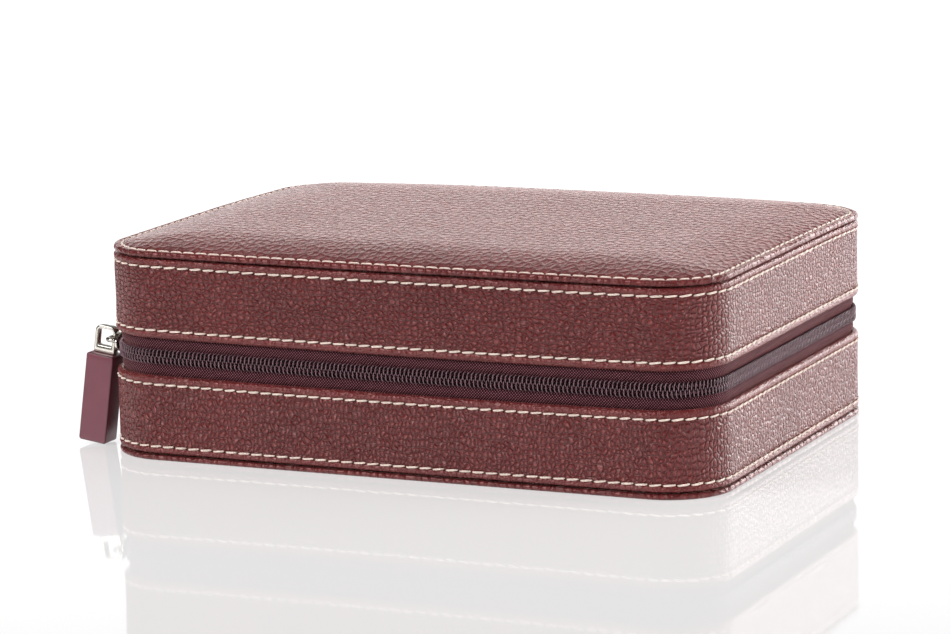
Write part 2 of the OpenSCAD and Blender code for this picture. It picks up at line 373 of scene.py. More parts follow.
def pebbledLeather(name, pebble, stitchLines=()):
    # calf leather, drum-dyed oxblood, plate-embossed and spray-finished: domed pebbles with folds between
    # them, glints on their upper sides and a pink haze at low angles; painted shade darkens the folds, the
    # needle holes and the groove under the panel's lip, and painted glints lighten the pebbles' middles
    material, tree = newMaterial(name)
    where = addNode(tree, "UVMap", uv_map="UVMap")
    grain = addNode(tree, "Attribute", output="Fac", attribute_name="grain")
    # painted shade, darkest on the rows in the groove under the panel's lip
    grooveShade = addNode(tree, "Attribute", output="Fac", attribute_name="grooveShade")
    sway = addNode(tree, "TexNoise", {"Vector": where, "Scale": 0.3, "Detail": 1.0}, "Color")
    aside = (leatherMake["sway"], leatherMake["sway"], 0)
    bent = addNode(tree, "VectorMath", [sway, aside, where], operation="MULTIPLY_ADD")
    long, tall, stray, glintShare = leatherMake["pebble"][pebble]
    cells = addNode(tree, "VectorMath", [bent, (1 / long, 1 / tall, 0)], operation="MULTIPLY")
    cell = {"Vector": cells, "Scale": 1.0, "Randomness": stray}
    edge = addNode(tree, "TexVoronoi", cell, feature="DISTANCE_TO_EDGE", voronoi_dimensions="2D")
    far = addNode(tree, "TexVoronoi", cell, voronoi_dimensions="2D")
    tint = addNode(tree, "TexVoronoi", cell, "Color", voronoi_dimensions="2D")
    tint = addNode(tree, "SeparateColor", [tint])
    # painted glints: pale spots at the pebbles' middles, stronger on some pebbles than on others
    paintedGlints = addNode(tree, "MapRange", [far, 0.0, leatherMake["tip"], 1.0, 0.0], **smooth)
    paintedGlints = addNode(tree, "Math", [paintedGlints, tint], operation="MULTIPLY")
    crease = addNode(tree, "MapRange", [edge, 0.0, leatherMake["creaseWidth"], 1.0, 0.0], **smooth)
    crease = addNode(tree, "Math", [crease, grain], operation="MULTIPLY")
    dome = addNode(tree, "Math", [far, 2.0], operation="POWER")
    dome = addNode(tree, "Math", [dome, grain], operation="MULTIPLY")
    fine = {"Vector": bent, "Scale": 1 / leatherMake["fine"], "Randomness": 1.0}
    wrinkle = addNode(tree, "TexVoronoi", fine, voronoi_dimensions="2D")
    wrinkle = addNode(tree, "Math", [wrinkle, 2.0], operation="POWER")
    bare = addNode(tree, "MapRange", [grain, 0.3, 1.0, 1.0, leatherMake["fineShare"]])
    wrinkle = addNode(tree, "Math", [wrinkle, bare], operation="MULTIPLY")
    pores = addNode(tree, "TexNoise", {"Vector": where, "Scale": 2.4, "Detail": 3.0, "Roughness": 0.65})
    holes = 0.0
    for line, pitch, phase in stitchLines:
        along = addNode(tree, "SeparateXYZ", [where], "X")
        across = addNode(tree, "SeparateXYZ", [where], "Y")
        step = addNode(tree, "Math", [along, 1 / pitch, phase + 0.5], operation="MULTIPLY_ADD")
        step = addNode(tree, "Math", [step], operation="FRACT")
        near = addNode(tree, "Math", [step, pitch, -pitch / 2], operation="MULTIPLY_ADD")
        away = addNode(tree, "Math", [across, line], operation="SUBTRACT")
        spot = addNode(tree, "CombineXYZ", [near, away])
        reach = addNode(tree, "VectorMath", [spot], "Value", operation="LENGTH")
        hole = addNode(tree, "MapRange", [reach, *leatherMake["hole"], 1.0, 0.0], **smooth)
        holes = addNode(tree, "Math", [holes, hole], operation="MAXIMUM")
    depth = addNode(tree, "Math", [dome, leatherMake["dome"]], operation="MULTIPLY")
    for part, key in ((crease, "crease"), (wrinkle, "wrinkle"), (pores, "pore"), (holes, "holeDepth")):
        depth = addNode(tree, "Math", [part, leatherMake[key], depth], operation="MULTIPLY_ADD")
    bump = addNode(tree, "Bump", {"Height": depth, "Distance": mm}, invert=True)
    patches = addNode(tree, "TexNoise", {"Vector": where, "Scale": 0.04, "Detail": 3.0})
    patches = addNode(tree, "MapRange", [patches, 0.35, 0.65], **smooth)
    tinting = leatherMake["tint"]
    tint = addNode(tree, "Math", [tint, -tinting, tinting], operation="MULTIPLY_ADD")
    # painted shade in the folds between pebbles
    foldShading = addNode(tree, "Math", [crease, leatherMake["foldShade"]], operation="MULTIPLY")
    # how much of the painted glints this leather gets
    paintedGlints = addNode(tree, "Math", [paintedGlints, glintShare], operation="MULTIPLY")
    # painted shade in the needle holes and in the groove under the panel's lip
    shade = addNode(tree, "Math", [holes, leatherMake["holeShade"]], operation="MULTIPLY")
    shade = addNode(tree, "Math", [shade, grooveShade], operation="MAXIMUM")
    colour, pale, deep, black, glintColour = (linearColour(code) for code in leatherMake["colours"])
    for share, over in ((patches, pale), (tint, deep), (foldShading, deep), (paintedGlints, glintColour), (shade, black)):
        colour = addNode(tree, "Mix", {0: share, 6: colour, 7: over}, **colourMix)
    gloss = addNode(tree, "MapRange", [pores, 0.3, 0.7, *leatherMake["gloss"]])
    dull = addNode(tree, "Math", [shade, crease], operation="MAXIMUM")
    gloss = addNode(tree, "Math", [dull, leatherMake["foldGloss"], gloss], operation="MULTIPLY_ADD",
                    use_clamp=True)
    finishMaterial(tree, {"Base Color": colour, "Roughness": gloss, "IOR": 1.5, "Normal": bump,
                          "Specular Tint": linearColour("#ffe4e1"), "Sheen Weight": 0.24,
                          "Sheen Roughness": 0.35, "Sheen Tint": linearColour("#ffb3a8")})
    return material


def sewingThread():
    # three-ply bonded nylon thread, waxed: cream, with a fine slanting lay and a soft shine
    ply = 0.5      # mm along the thread from ply to ply
    material, tree = newMaterial("waxed nylon thread")
    where = addNode(tree, "UVMap", uv_map="UVMap")
    slanted = addNode(tree, "VectorMath", [where, (1, 1, 0)], "Value", operation="DOT_PRODUCT")
    lay = addNode(tree, "Math", [slanted, 2 * math.pi / ply], operation="MULTIPLY")
    lay = addNode(tree, "Math", [lay], operation="SINE")
    fuzz = addNode(tree, "TexNoise", {"Vector": where, "Scale": 1.2, "Detail": 2.0})
    bump = addNode(tree, "Bump", {"Height": lay, "Strength": 0.5, "Distance": 0.06 * mm})
    shade = addNode(tree, "Math", [lay, 0.2, fuzz], operation="MULTIPLY_ADD")
    colour = addNode(tree, "Mix", {0: shade, **fromTo("#f0d3c1", "#fff5ea")}, **colourMix)
    finishMaterial(tree, {"Base Color": colour, "Roughness": 0.5, "Normal": bump, "Sheen Weight": 0.2})
    return material


def wovenTape():
    # polyester zip tape in plain weave: nearly black wine, with a lit dot where each thread comes up
    pitch = 1.0      # mm from dot to dot in a row, a little coarser than the real weave so that it shows
    material, tree = newMaterial("woven polyester tape")
    where = addNode(tree, "UVMap", uv_map="UVMap")
    waves = []
    for way in ("X", "Y"):
        across = addNode(tree, "SeparateXYZ", [where], way)
        wave = addNode(tree, "Math", [across, 2 * math.pi / pitch], operation="MULTIPLY")
        waves.append(addNode(tree, "Math", [wave], operation="SINE"))
    weave = addNode(tree, "Math", waves, operation="MULTIPLY")
    knots = addNode(tree, "MapRange", [weave, 0.0, 0.85], **smooth)
    stray = addNode(tree, "TexNoise", {"Vector": where, "Scale": 1.5, "Detail": 2.0})
    bump = addNode(tree, "Bump", {"Height": knots, "Distance": 0.14 * mm})
    colour = addNode(tree, "Mix", {0: stray, **fromTo("#110508", "#220a0f")}, **colourMix)
    colour = addNode(tree, "Mix", {0: knots, 6: colour, 7: linearColour("#9c606b")}, **colourMix)
    finishMaterial(tree, {"Base Color": colour, "Roughness": 0.75, "Normal": bump,
                          "Specular IOR Level": 0.15, "Sheen Weight": 0.5, "Sheen Roughness": 0.28,
                          "Sheen Tint": linearColour("#ffb3a8")})
    return material


def drawnNylon():
    # nylon monofilament, drawn and coiled: nearly black with a clear grey shine along each turn
    material, tree = newMaterial("drawn nylon filament")
    where = addNode(tree, "TexCoord", output="Object")
    haze = addNode(tree, "TexNoise", {"Vector": where, "Scale": 0.9 / mm, "Detail": 2.0})
    colour = addNode(tree, "Mix", {0: haze, **fromTo("#42252d", "#926a76")}, **colourMix)
    gloss = addNode(tree, "MapRange", [haze, 0.3, 0.7, 0.12, 0.25])
    finishMaterial(tree, {"Base Color": colour, "Roughness": gloss, "IOR": 1.53,
                          "Coat Weight": 0.5, "Coat Roughness": 0.2})
    return material


def coreCord():
    # spun polyester cord that the zip's coil is wound on: matt, and near black as painted shade for the
    # gaps between and behind the turns
    material, tree = newMaterial("spun polyester cord")
    where = addNode(tree, "TexCoord", output="Object")
    fluff = addNode(tree, "TexNoise", {"Vector": where, "Scale": 1.5 / mm, "Detail": 2.0})
    colour = addNode(tree, "Mix", {0: fluff, **fromTo("#0e0507", "#220c12")}, **colourMix)
    bump = addNode(tree, "Bump", {"Height": fluff, "Strength": 0.4, "Distance": 0.1 * mm})
    finishMaterial(tree, {"Base Color": colour, "Roughness": 0.85, "Normal": bump,
                          "Specular IOR Level": 0.2})
    return material


def polishedNickel():
    # zinc casting, nickel plated and tumbled: bright and slightly warm, with hairline scuffs
    material, tree = newMaterial("polished nickel plate")
    where = addNode(tree, "TexCoord", output="Object")
    lumps = {"Vector": where, "Scale": 0.7 / mm, "Detail": 4.0, "Roughness": 0.7}
    scuffs = addNode(tree, "TexNoise", lumps)
    colour = addNode(tree, "Mix", {0: scuffs, **fromTo("#a8a29b", "#c9c4bc")}, **colourMix)
    gloss = addNode(tree, "MapRange", [scuffs, 0.3, 0.75, 0.10, 0.24])
    bump = addNode(tree, "Bump", {"Height": scuffs, "Strength": 0.15, "Distance": 0.02 * mm})
    finishMaterial(tree, {"Base Color": colour, "Metallic": 1.0, "Roughness": gloss, "Normal": bump})
    return material


def satinEnamel():
    # zinc block, sprayed with satin enamel and baked: an even wine colour with slight orange peel,
    # darker along the rounded edges
    material, tree = newMaterial("baked satin enamel")
    where = addNode(tree, "TexCoord", output="Object")
    peel = addNode(tree, "TexNoise", {"Vector": where, "Scale": 1.4 / mm, "Detail": 2.0})
    cloud = addNode(tree, "TexNoise", {"Vector": where, "Scale": 0.09 / mm, "Detail": 2.0})
    edge = addNode(tree, "Attribute", output="Fac", attribute_name="edge")
    colour = addNode(tree, "Mix", {0: cloud, **fromTo("#642a37", "#743544")}, **colourMix)
    darkEdge = addNode(tree, "Math", [edge, 0.7], operation="MULTIPLY")
    colour = addNode(tree, "Mix", {0: darkEdge, 6: colour, 7: linearColour("#220b11")}, **colourMix)
    bump = addNode(tree, "Bump", {"Height": peel, "Strength": 0.25, "Distance": 0.03 * mm})
    gloss = addNode(tree, "MapRange", [peel, 0.3, 0.7, 0.32, 0.44])
    finishMaterial(tree, {"Base Color": colour, "Roughness": gloss, "Normal": bump, "IOR": 1.5,
                          "Coat Weight": 0.2, "Coat Roughness": 0.3})
    return material


def microSuede():
    # microfibre suede, sueded and brushed: matt tan with nap marks and a pale bloom at low angles
    material, tree = newMaterial("brushed microfibre suede")
    where = addNode(tree, "TexCoord", output="Object")
    nap = addNode(tree, "TexNoise", {"Vector": where, "Scale": 2.6 / mm, "Detail": 3.0, "Roughness": 0.7})
    lumps = {"Vector": where, "Scale": 0.07 / mm, "Detail": 4.0, "Distortion": 0.6}
    strokes = addNode(tree, "TexNoise", lumps)
    strokes = addNode(tree, "MapRange", [strokes, 0.35, 0.65], **smooth)
    colour = addNode(tree, "Mix", {0: strokes, **fromTo("#9a7c61", "#ab8e71")}, **colourMix)
    fleck = addNode(tree, "Math", [nap, 0.5], operation="MULTIPLY")
    colour = addNode(tree, "Mix", {0: fleck, 6: colour, 7: linearColour("#7d6048")}, **colourMix)
    bump = addNode(tree, "Bump", {"Height": nap, "Strength": 0.6, "Distance": 0.12 * mm})
    finishMaterial(tree, {"Base Color": colour, "Roughness": 0.95, "Normal": bump, "Sheen Weight": 0.5,
                          "Sheen Roughness": 0.5, "Specular IOR Level": 0.2})
    return material


def greyBoard():
    # pressed bookbinder's board: pulp grey-brown with flecks and short fibres
    material, tree = newMaterial("pressed pulp board")
    where = addNode(tree, "TexCoord", output="Object")
    lumps = {"Vector": where, "Scale": 0.9 / mm, "Detail": 4.0, "Distortion": 2.0}
    fibres = addNode(tree, "TexNoise", lumps)
    flecks = addNode(tree, "MapRange", [fibres, 0.35, 0.7], **smooth)
    colour = addNode(tree, "Mix", {0: flecks, **fromTo("#8d7f68", "#b9a98c")}, **colourMix)
    bump = addNode(tree, "Bump", {"Height": fibres, "Strength": 0.5, "Distance": 0.1 * mm})
    finishMaterial(tree, {"Base Color": colour, "Roughness": 0.92, "Normal": bump})
    return material


thread = sewingThread()
tape = wovenTape()
nylon = drawnNylon()
cord = coreCord()
nickel = polishedNickel()
enamel = satinEnamel()
suede = microSuede()
board = greyBoard()
panelLeather = pebbledLeather("pebbled calf, panels", "panel")
spineLeather = pebbledLeather("pebbled calf, hinge", "lid")
for node in ("base_board", "base_wall_board", "lid_board", "lid_wall_board"):
    for slot in frame["nodes"][node].material_slots:
        slot.material = board
print("finishes mixed")


sinking = {
    # side, depth and reach of the sinking at the lid's two back corners
    "corners": ((-1, 1.4, 48.0), (1, 0.8, 34.0)),
    "from": case["height"] * 0.6,
    # how far the long front sags between its corners, at its opening and at its top
    "front": 0.85,
    "frontTop": 0.35,
    "frontFade": 1.6,      # how quickly that fades out round the corners
}


def settle(point):
    # lowers a point as far as the soft leather has sunk there
    drop = 0
    share = min(1, (point.z - sinking["from"]) / (case["height"] - sinking["from"]))
    if share > 0:
        for side, depth, reach in sinking["corners"]:
            away = math.hypot(point.x - side * case["width"] / 2, point.y - case["depth"] / 2)
            drop += share * depth * math.exp(-(away / reach) ** 2)
    across = max(0, 1 - (point.x / (case["width"] / 2)) ** 2)
    nearFront = max(0, min(1, (point.y + halfY) / -cornerRadius * sinking["frontFade"]))
    if across and nearFront:
        level = point.z / case["height"] * 2 - 1
        atEnd = sinking["frontTop"] if level > 0 else 0
        drop += across * nearFront * (atEnd + (sinking["front"] - atEnd) * (1 - level ** 4))
    return point - Vector((0, 0, drop))


sewing = {
    "channel": 0.30,       # how deep the thread pulls the leather down
    "channelWidth": 0.75,
    "pucker": 0.07,        # how far the leather beside the stitches rises and falls with them
    "puckerReach": 1.2,
    "puckerWidth": 0.6,
    "panelInset": 0.4,     # how much further in than its bead a panel's line of stitches runs
    "stagger": 0.37,       # shifts the lines, so that their stitches don't stand in columns
    "pitch": {
        "base_low_stitching": 4.75,
        "base_edge_stitching": 4.44,
        "base_panel_stitching": 4.7,
        "lid_edge_stitching": 4.66,
        "lid_low_stitching": 4.84,
        "lid_panel_stitching": 4.7,
    },
}


def seamOf(node):
    # where a line of stitches runs, how many stitches it has and how far it is shifted along
    low, high = nodeBox(node)
    inset = low.x - panelLow.x
    if "panel" in node:
        inset += sewing["panelInset"]
    z = (low.z + high.z) / 2
    count = round(loopLength / sewing["pitch"][node])
    phase = (len(node) * sewing["stagger"]) % 1
    return {"inset": inset, "z": z, "pitch": loopLength / count, "count": count, "phase": phase}


seams = {node: seamOf(node) for node in sewing["pitch"]}


def seamDent(s, away, seam):
    # how far a seam draws the leather in at a point that far away from it
    step = (s / seam["pitch"] + seam["phase"]) % 1
    channel = sewing["channel"] * math.exp(-(away / sewing["channelWidth"]) ** 2)
    beside = math.exp(-((abs(away) - sewing["puckerReach"]) / sewing["puckerWidth"]) ** 2)
    return channel + sewing["pucker"] * math.cos(2 * math.pi * step) * beside


wallMake = {
    "tuck": ((1.35, -0.45), (1.35, -0.1)),    # inset and height of the edge that runs in under the panel
    "footRadius": 0.8,
    "foldRadius": 1.15,    # where the free edge is folded in over the zip tape
    "foldedIn": (1.5, 4.0, 7.2),              # rows of points down the folded leather
    "step": 0.8,           # mm between points round the case
    "rowStep": 1.1,        # mm between rows of points up the wall, with more beside a seam
    "seamRows": (0, 0.2, 0.45, 0.75, 1.1, 1.5),    # how far from the seam those rows are
    "rowGap": 0.12,
    "grooveRows": 4,       # rows under the panel's lip that get painted shade
    "stripPuff": 0.16,     # how far the strips outside the seams stand out
    "stripGrain": 0.35,    # how much of the pebbles they keep
    "stripEdge": 0.3,
    "waviness": 0.16,      # of the whole wall, and its reach along and up
    "wave": (21, 13),
    "wrinkle": 0.22,       # depth of the creases past the left front corner
    "wrinklePitch": 3.4,
    "wrinkleAt": (14, 8),  # how far past it their middle is, and their reach
    "wrinkleBend": (2.5, 9, 12),    # how much they wander, and over what reach along and up
    "seeds": (9.1, 3.7),   # for the base and the lid
}


def wallProfile(lowSeam, edgeSeam):
    # (inset, z, share of the relief) up the outer face, over the free edge and down behind it
    foot, fold = wallMake["footRadius"], wallMake["foldRadius"]
    face = wallLow.x - panelLow.x
    bottom, top = wallLow.z, wallHigh.z
    profile = [(face + inset, bottom + z, 0) for inset, z in wallMake["tuck"]]
    turned = arc(face + foot, bottom + foot, foot, 270, 180)
    profile += [(*pair, i / 4) for i, pair in enumerate(turned)]
    heights = set(spread(bottom + foot + 0.4, top - fold - 0.3, wallMake["rowStep"]))
    for z in (lowSeam, edgeSeam):
        heights |= {z + side * away for away in wallMake["seamRows"] for side in (-1, 1)}
    last = bottom + foot
    for z in sorted(heights):
        if last + wallMake["rowGap"] < z < top - fold - wallMake["rowGap"]:
            profile.append((face, z, 1))
            last = z
    turned = arc(face + fold, top - fold, fold, 180, 0, 9)
    profile += [(*pair, 1 - i / 8) for i, pair in enumerate(turned)]
    profile += [(face + 2 * fold, top - fold - down, 0) for down in wallMake["foldedIn"]]
    return profile


def buildWall(body, mirrored):
    lowSeam, edgeSeam = seams[body + "_low_stitching"], seams[body + "_edge_stitching"]
    lowZ, edgeZ = heightOf(lowSeam["z"], mirrored), heightOf(edgeSeam["z"], mirrored)
    profile = wallProfile(lowZ, edgeZ)
    lengths = runLengths(profile)
    seed = wallMake["seeds"][mirrored]
    waveAlong, waveUp = wallMake["wave"]
    wrinkleMiddle, wrinkleReach = wallMake["wrinkleAt"]
    bend, bendAlong, bendUp = wallMake["wrinkleBend"]
    wrinkleMiddle += leftFrontCorner
    points, uvs, grains, grooveShades = [], [], [], []
    stops = spread(0, loopLength, wallMake["step"])
    for s in stops:
        spot, way = loopSpot(s)
        wrinkled = wallMake["wrinkle"] * math.exp(-((s - wrinkleMiddle) / wrinkleReach) ** 2)
        for j, (inset, z, share) in enumerate(profile):
            out = 0
            if share:
                out -= seamDent(s, z - lowZ, lowSeam) + seamDent(s, z - edgeZ, edgeSeam)
                for past, width in ((z - edgeZ, wallHigh.z - edgeZ), (lowZ - z, lowZ - wallLow.z)):
                    if past > 0:
                        out += wallMake["stripPuff"] * math.sin(math.pi * min(1, past / width))
                out += wallMake["waviness"] * noise.noise(Vector((s / waveAlong, z / waveUp, seed)))
                ripple = 2 * math.pi * s / wallMake["wrinklePitch"]
                ripple += bend * noise.noise(Vector((s / bendAlong, z / bendUp, seed)))
                out += wrinkled * math.sin(ripple)
                out *= share
            points.append(settle(spot - way * (inset - out) + Vector((0, 0, heightOf(z, mirrored)))))
            uvs.append((s, lengths[j]))
            # painted shade, strongest on the first rows under the panel's lip
            grooveShades.append(max(0, 1 - j / wallMake["grooveRows"]))
            strip = z > edgeZ - wallMake["stripEdge"] or z < lowZ + wallMake["stripEdge"]
            grains.append(wallMake["stripGrain"] if strip else 1.0)
    faces = gridFaces(len(stops), len(profile), flip=mirrored)
    piece = makePiece(body + "WallSkin", points, faces, uvs, {"grain": grains, "grooveShade": grooveShades})
    stitchLines = []
    for z, seam in ((lowZ, lowSeam), (edgeZ, edgeSeam)):
        nearest = min(range(len(profile)), key=lambda j: abs(profile[j][1] - z) + profile[j][0])
        stitchLines.append((lengths[nearest] + z - profile[nearest][1], seam["pitch"], seam["phase"]))
    leather = pebbledLeather("pebbled calf, " + body + " wall", body, stitchLines)
    dress(piece, body, leather, body + "_wall_leather")


panelMake = {
    "rimRadius": 0.95,
    "lipReturn": 2.2,      # how far in the underside of the lip ends
    "rimRows": (0.35, 0.7, 1.0),    # rows of points on the flat rim, and then from the seam inwards
    "seamRows": (-0.6, -0.3, 0, 0.3, 0.6, 1.0, 1.5, 2.1, 2.8, 3.6, 4.5, 5.6, 6.8,
                 8.2, 9.7, 11.3, 13.0, 14.8),
    "ringReach": 19.0,     # where rings begin that close in on the middle
    "innerRings": 22,
    # rows under the lip that get painted shade
    "grooveRows": 5,
    "flatRim": 1.0,
    "crown": 2.65,         # how far the padded top rises from its stitches
    "crownReach": 29.0,
    "puff": 0.3,           # the padding's first steep rise beside the stitches
    "puffReach": 2.0,
    "padStart": 0.3,       # mm from the stitches
    "grain": 0.7,
    "hollow": 0.25,        # how far the underside draws in, so that it stands on its rim
    "hollowReach": 5.0,
    "waviness": 0.12,
    "wave": 30,
    "waveStart": 6,
    "seed": 5.3,
}


def panelProfile(seamInset):
    # (inset, z), from under the lip, round it and over the stitches, then inwards
    r, t = panelMake["rimRadius"], panelHigh.z - panelLow.z
    profile = [(panelMake["lipReturn"], t), (r + 0.5, t)]
    profile += arc(r, t - r, r, 90, 180) + arc(r, r, r, 202.5, 270, 4)
    stops = [r + away for away in panelMake["rimRows"]]
    stops += [seamInset + away for away in panelMake["seamRows"]] + [panelMake["ringReach"]]
    return profile + [(inset, 0) for inset in stops]


def panelRise(inset, seamInset, mirrored):
    # height above the flat face, in the way out of the case
    past = max(0, inset - seamInset - panelMake["padStart"])
    if mirrored:
        crown = panelMake["crown"] * (1 - max(0, 1 - past / panelMake["crownReach"]) ** 2)
        return crown + panelMake["puff"] * (1 - math.exp(-past / panelMake["puffReach"]))
    return -panelMake["hollow"] * (1 - math.exp(-past / panelMake["hollowReach"]))


def buildPanel(body, mirrored):
    seam = seams[body + "_panel_stitching"]
    profile = panelProfile(seam["inset"])
    inner = profile[-1][0]
    lengths = runLengths(profile)
    flat = [inner - (lengths[-1] - length) for length in lengths]    # inset if the leather lay flat
    rows = len(profile) + panelMake["innerRings"]
    points, uvs, grooveShades = [], [], []
    stops = spread(0, loopLength, wallMake["step"])
    for s in stops:
        spot, way = loopSpot(s)
        for j in range(rows):
            if j < len(profile):
                inset, z = profile[j]
                base = spot - way * inset
                # the UV map is laid out flat, so that pebbles keep their size round the lip
                laid = spot - way * flat[j]
            else:
                share = (j - len(profile) + 1) / panelMake["innerRings"]
                ring = spot - way * inner
                base = laid = ring.lerp(middleSpot(ring), share)
                inset, z = inner + share * (case["depth"] / 2 - inner), 0
            out = 0
            if z < (panelHigh.z - panelLow.z) / 2:
                out = panelRise(inset, seam["inset"], mirrored)
                if mirrored:
                    wave = noise.noise(Vector((*(base.xy / panelMake["wave"]), panelMake["seed"])))
                    out += panelMake["waviness"] * wave * min(1, inset / panelMake["waveStart"])
                if inset > panelMake["flatRim"]:
                    out -= seamDent(s, inset - seam["inset"], seam)
            points.append(settle(base + Vector((0, 0, heightOf(z - out, mirrored)))))
            uvs.append((laid.x, laid.y))
            # painted shade, strongest on the first rows under the lip
            grooveShades.append(max(0, 1 - j / panelMake["grooveRows"]))
    faces = gridFaces(len(stops), rows, flip=mirrored)
    marks = {"grain": [panelMake["grain"]] * len(points), "grooveShade": grooveShades}
    piece = makePiece(body + "PanelSkin", points, faces, uvs, marks)
    dress(piece, body, panelLeather, body + "_panel")


for body, mirrored in halves:
    buildWall(body, mirrored)
    buildPanel(body, mirrored)
print("leather laid on")


stitchMake = {
    "cover": 0.88,         # share of the pitch that the thread lies on top
    "radius": 0.36,
    "tipRadius": 0.22,
    "bedding": 0.75,       # how high the thread lies on the leather, as a share of its radius
    "lift": 0.16,          # how far the middle stands above the pulled-in leather
    "panelLift": -0.08,
    "sink": 0.55,          # how far each tip goes into its hole
    "sinkStart": 0.72,     # where it starts to, as a share of the way from the middle to the tip
    "slant": 5.0,          # degrees
    "slantStray": 2.0,     # how much stitches differ in slant, in place and in thickness
    "stray": 0.06,
    "plump": (0.94, 1.05),
    "sides": 8,
    "rings": 9,
}


def buildStitches(node):
    seam = seams[node]
    body = node.split("_")[0]
    onPanel = "panel" in node
    points, faces, uvs = [], [], []
    half = seam["pitch"] * stitchMake["cover"] / 2
    down = Vector((0, 0, -1 if body == "base" else 1))
    level = panelLow.z if body == "base" else case["height"]
    inset = seam["inset"] if onPanel else wallLow.x - panelLow.x
    lift = stitchMake["panelLift" if onPanel else "lift"]
    bed = stitchMake["radius"] * stitchMake["bedding"] - sewing["channel"]
    stray, slantStray, sinkStart = stitchMake["stray"], stitchMake["slantStray"], stitchMake["sinkStart"]
    for k in range(seam["count"]):
        centre = (k + 0.5 - seam["phase"]) * seam["pitch"] + random.uniform(-stray, stray)
        slant = math.tan(math.radians(stitchMake["slant"] + random.uniform(-slantStray, slantStray)))
        plump = random.uniform(*stitchMake["plump"])
        path, radii, hints = [], [], []
        for i in range(stitchMake["rings"]):
            t = -1 + 2 * i / (stitchMake["rings"] - 1)
            sunk = stitchMake["sink"] * max(0, abs(t) - sinkStart) / (1 - sinkStart)
            rise = lift * (1 - t * t) - sunk + bed
            spot, way = loopSpot(centre + t * half)
            out = down if onPanel else way
            across = -way if onPanel else Vector((0, 0, 1))
            z = level if onPanel else seam["z"]
            laid = spot - way * inset + Vector((0, 0, z)) + out * rise + across * slant * t * half
            path.append(settle(laid))
            full = (stitchMake["radius"] - stitchMake["tipRadius"]) * (1 - abs(t) ** 3)
            radii.append(plump * (stitchMake["tipRadius"] + full))
            hints.append(out)
        tubeInto(points, faces, uvs, path, radii, hints, stitchMake["sides"])
    for point in points:
        point.z = max(point.z, panelLow.z)      # the bottom seam is pressed flat where the case stands
    piece = makePiece(node.replace("_stitching", "") + "Stitches", points, faces, uvs)
    dress(piece, body, thread, node)


for node in seams:
    buildStitches(node)
print("seams sewn")


zipMake = {
    "pitch": 1.5,
    "wire": 0.20,          # radius of the filament
    "reach": 0.42,         # how far a turn's head passes the zip's middle
    "hook": (0.16, -0.75, 1.0),     # sideways run of a turn's front, in pitches, from its head to its root
    "bow": 0.6,            # how boxy a turn is seen along the zip, where 1 is round
    "pointsPerHalf": 7,
    "sides": 6,
    "cord": 0.40,          # radius of the two cords inside the coil
    "cordPlace": (0.15, 0.45, 0.55),       # how far in, and how far from the turns' roots and heads
    "tape": 0.8,           # thickness
    "tapeEdge": ((0.1, -0.08), (0.3, 0), (0.7, -0.05)),    # round its edge, from the outer face's top
    "tapeRows": 0.5,
    "tapeStep": 1.2,
    "tapeWave": (0.10, 9, 5),       # depth, and reach along the tape and up it
    "bulge": (0.75, 0.7),  # how far it swells out from the leather's edge to the coil, and how boxily
    "tapeReturn": 5.0,     # how far the tape and the coil run on past the back's corners
    "coilReturn": 2.6,
    "stop": (2.0, 0.5, 0.4),        # an end stop's length, corners and edges
}
zipMiddle = case["height"] / 2


def zipEnds(back):
    # where the zip starts and ends on the outline
    return halfX - back, loopLength - halfX + back


def buildTape(body, mirrored):
    outer, thick = tapeLow.x - panelLow.x, zipMake["tape"]
    low, high = tapeLow.z, tapeHigh.z
    levels = spread(low, high - 0.3, zipMake["tapeRows"])
    profile = [(outer, z) for z in levels]
    profile += [(outer + inset, high + z) for inset, z in zipMake["tapeEdge"]]
    profile += [(outer + thick, z) for z in reversed(levels)]
    lengths = runLengths(profile)
    stops = spread(*zipEnds(zipMake["tapeReturn"]), zipMake["tapeStep"])
    wave, waveAlong, waveUp = zipMake["tapeWave"]
    bulge, boxiness = zipMake["bulge"]
    points, uvs = [], []
    for s in stops:
        spot, way = loopSpot(s)
        for j, (inset, z) in enumerate(profile):
            sag = wave * noise.noise(Vector((s / waveAlong, z / waveUp, 2.2 + mirrored)))
            share = max(0, min(1, (z - wallHigh.z) / (coilLow.z - wallHigh.z)))
            sag -= bulge * math.sin(math.pi * share) ** boxiness
            points.append(settle(spot - way * (inset + sag) + Vector((0, 0, heightOf(z, mirrored)))))
            uvs.append((s, lengths[j]))
    faces = gridFaces(len(stops), len(profile), flip=mirrored, closedAcross=True)
    caps = capFaces(len(stops), len(profile))
    faces += caps if mirrored else [tuple(reversed(cap)) for cap in caps]
    piece = makePiece(body + "ZipTape", points, faces, uvs)
    dress(piece, body, tape, body + "_zip_tape")


